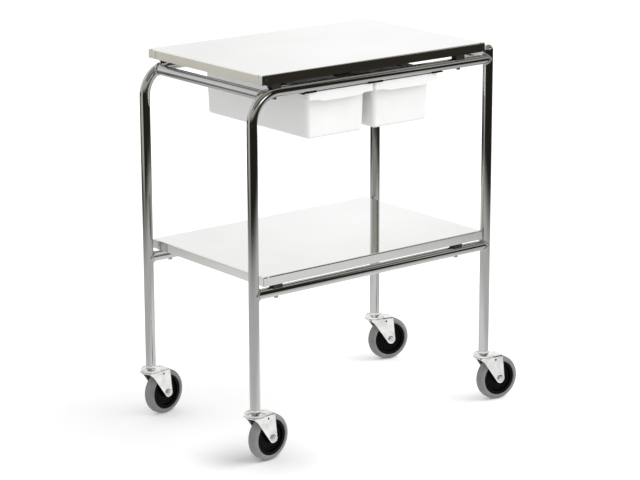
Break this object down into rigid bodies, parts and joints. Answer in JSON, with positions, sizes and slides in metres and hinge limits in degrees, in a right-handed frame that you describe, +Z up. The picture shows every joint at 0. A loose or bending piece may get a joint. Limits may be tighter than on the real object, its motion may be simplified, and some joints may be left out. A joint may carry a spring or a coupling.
{
  "type": "instrument table",
  "caption": "Two-tier hospital instrument table on swivel castors: stainless trays on a chromed tube frame, with pull-out drawers under the top.",
  "frame": {"origin": "on the floor, at the centre of the overall bounding box with the castors trailing to +X", "axes": "+X from the bent-tube end to the straight-leg end, -Y the front where the drawers pull out, +Z up"},
  "size_m": [0.7466, 0.4367, 0.818],
  "materials": {
    "chromed_tube": "bright chrome plate",
    "polished_stainless": "mirror-polished stainless sheet",
    "black_rubber": "matt black",
    "zinc_fastener": "zinc-plated",
    "zinc_plated_steel": "bright zinc plate",
    "black_plastic": "fine moulded texture",
    "white_plastic": "satin moulded",
    "grey_tyre": "smooth non-marking rubber"
  },
  "bodies": {
    "frame": {"front_bent_tube": "chromed_tube", "back_bent_tube": "chromed_tube", "front_right_leg": "chromed_tube", "back_right_leg": "chromed_tube", "left_cross_rail": "chromed_tube", "right_cross_rail": "chromed_tube", "lower_front_rail": "chromed_tube", "lower_back_rail": "chromed_tube", "leg_end_caps": "chromed_tube", "table_top": "polished_stainless", "lower_shelf": "polished_stainless", "table_top_buffers": "black_rubber", "lower_shelf_buffers": "black_rubber", "table_top_screws": "zinc_fastener", "lower_shelf_screws": "zinc_fastener", "runner_screws": "zinc_fastener", "left_runner": "black_plastic", "centre_runner": "black_plastic", "right_runner": "black_plastic", "front_left_stem": "zinc_plated_steel", "back_left_stem": "zinc_plated_steel", "front_right_stem": "zinc_plated_steel", "back_right_stem": "zinc_plated_steel"},
    "left_drawer": {"left_drawer": "white_plastic"},
    "right_drawer": {"right_drawer": "white_plastic"},
    "front_left_swivel": {"front_left_race_ring": "zinc_plated_steel", "front_left_fork": "zinc_plated_steel", "front_left_axle": "zinc_fastener"},
    "front_left_wheel": {"front_left_wheel_centre": "black_plastic", "front_left_tyre": "grey_tyre"},
    "back_left_swivel": {"back_left_race_ring": "zinc_plated_steel", "back_left_fork": "zinc_plated_steel", "back_left_axle": "zinc_fastener"},
    "back_left_wheel": {"back_left_wheel_centre": "black_plastic", "back_left_tyre": "grey_tyre"},
    "front_right_swivel": {"front_right_race_ring": "zinc_plated_steel", "front_right_fork": "zinc_plated_steel", "front_right_axle": "zinc_fastener"},
    "front_right_wheel": {"front_right_wheel_centre": "black_plastic", "front_right_tyre": "grey_tyre"},
    "back_right_swivel": {"back_right_race_ring": "zinc_plated_steel", "back_right_fork": "zinc_plated_steel", "back_right_axle": "zinc_fastener"},
    "back_right_wheel": {"back_right_wheel_centre": "black_plastic", "back_right_tyre": "grey_tyre"}
  },
  "joints": [
    {"name": "left_drawer_slide", "type": "slide", "parent": "frame", "child": "left_drawer", "axis": [0, -1, 0], "range_m": [0, 0.3]},
    {"name": "right_drawer_slide", "type": "slide", "parent": "frame", "child": "right_drawer", "axis": [0, -1, 0], "range_m": [0, 0.3]},
    {"name": "front_left_castor_swivel", "type": "hinge", "parent": "frame", "child": "front_left_swivel", "pos_m": [-0.35092, -0.19, 0.105], "axis": [0, 0, 1], "continuous": true},
    {"name": "front_left_wheel_roll", "type": "hinge", "parent": "front_left_swivel", "child": "front_left_wheel", "pos_m": [-0.31479, -0.18601, 0.05], "axis": [-0.1097, 0.994, 0], "continuous": true},
    {"name": "back_left_castor_swivel", "type": "hinge", "parent": "frame", "child": "back_left_swivel", "pos_m": [-0.35092, 0.19, 0.105], "axis": [0, 0, 1], "continuous": true},
    {"name": "back_left_wheel_roll", "type": "hinge", "parent": "back_left_swivel", "child": "back_left_wheel", "pos_m": [-0.31499, 0.1955, 0.05], "axis": [-0.1513, 0.9885, 0], "continuous": true},
    {"name": "front_right_castor_swivel", "type": "hinge", "parent": "frame", "child": "front_right_swivel", "pos_m": [0.28708, -0.19, 0.105], "axis": [0, 0, 1], "continuous": true},
    {"name": "front_right_wheel_roll", "type": "hinge", "parent": "front_right_swivel", "child": "front_right_wheel", "pos_m": [0.32309, -0.19493, 0.05], "axis": [0.1357, 0.9907, 0], "continuous": true},
    {"name": "back_right_castor_swivel", "type": "hinge", "parent": "frame", "child": "back_right_swivel", "pos_m": [0.28708, 0.19, 0.105], "axis": [0, 0, 1], "continuous": true},
    {"name": "back_right_wheel_roll", "type": "hinge", "parent": "back_right_swivel", "child": "back_right_wheel", "pos_m": [0.32264, 0.1825, 0.05], "axis": [0.2062, 0.9785, 0], "continuous": true}
  ]
}
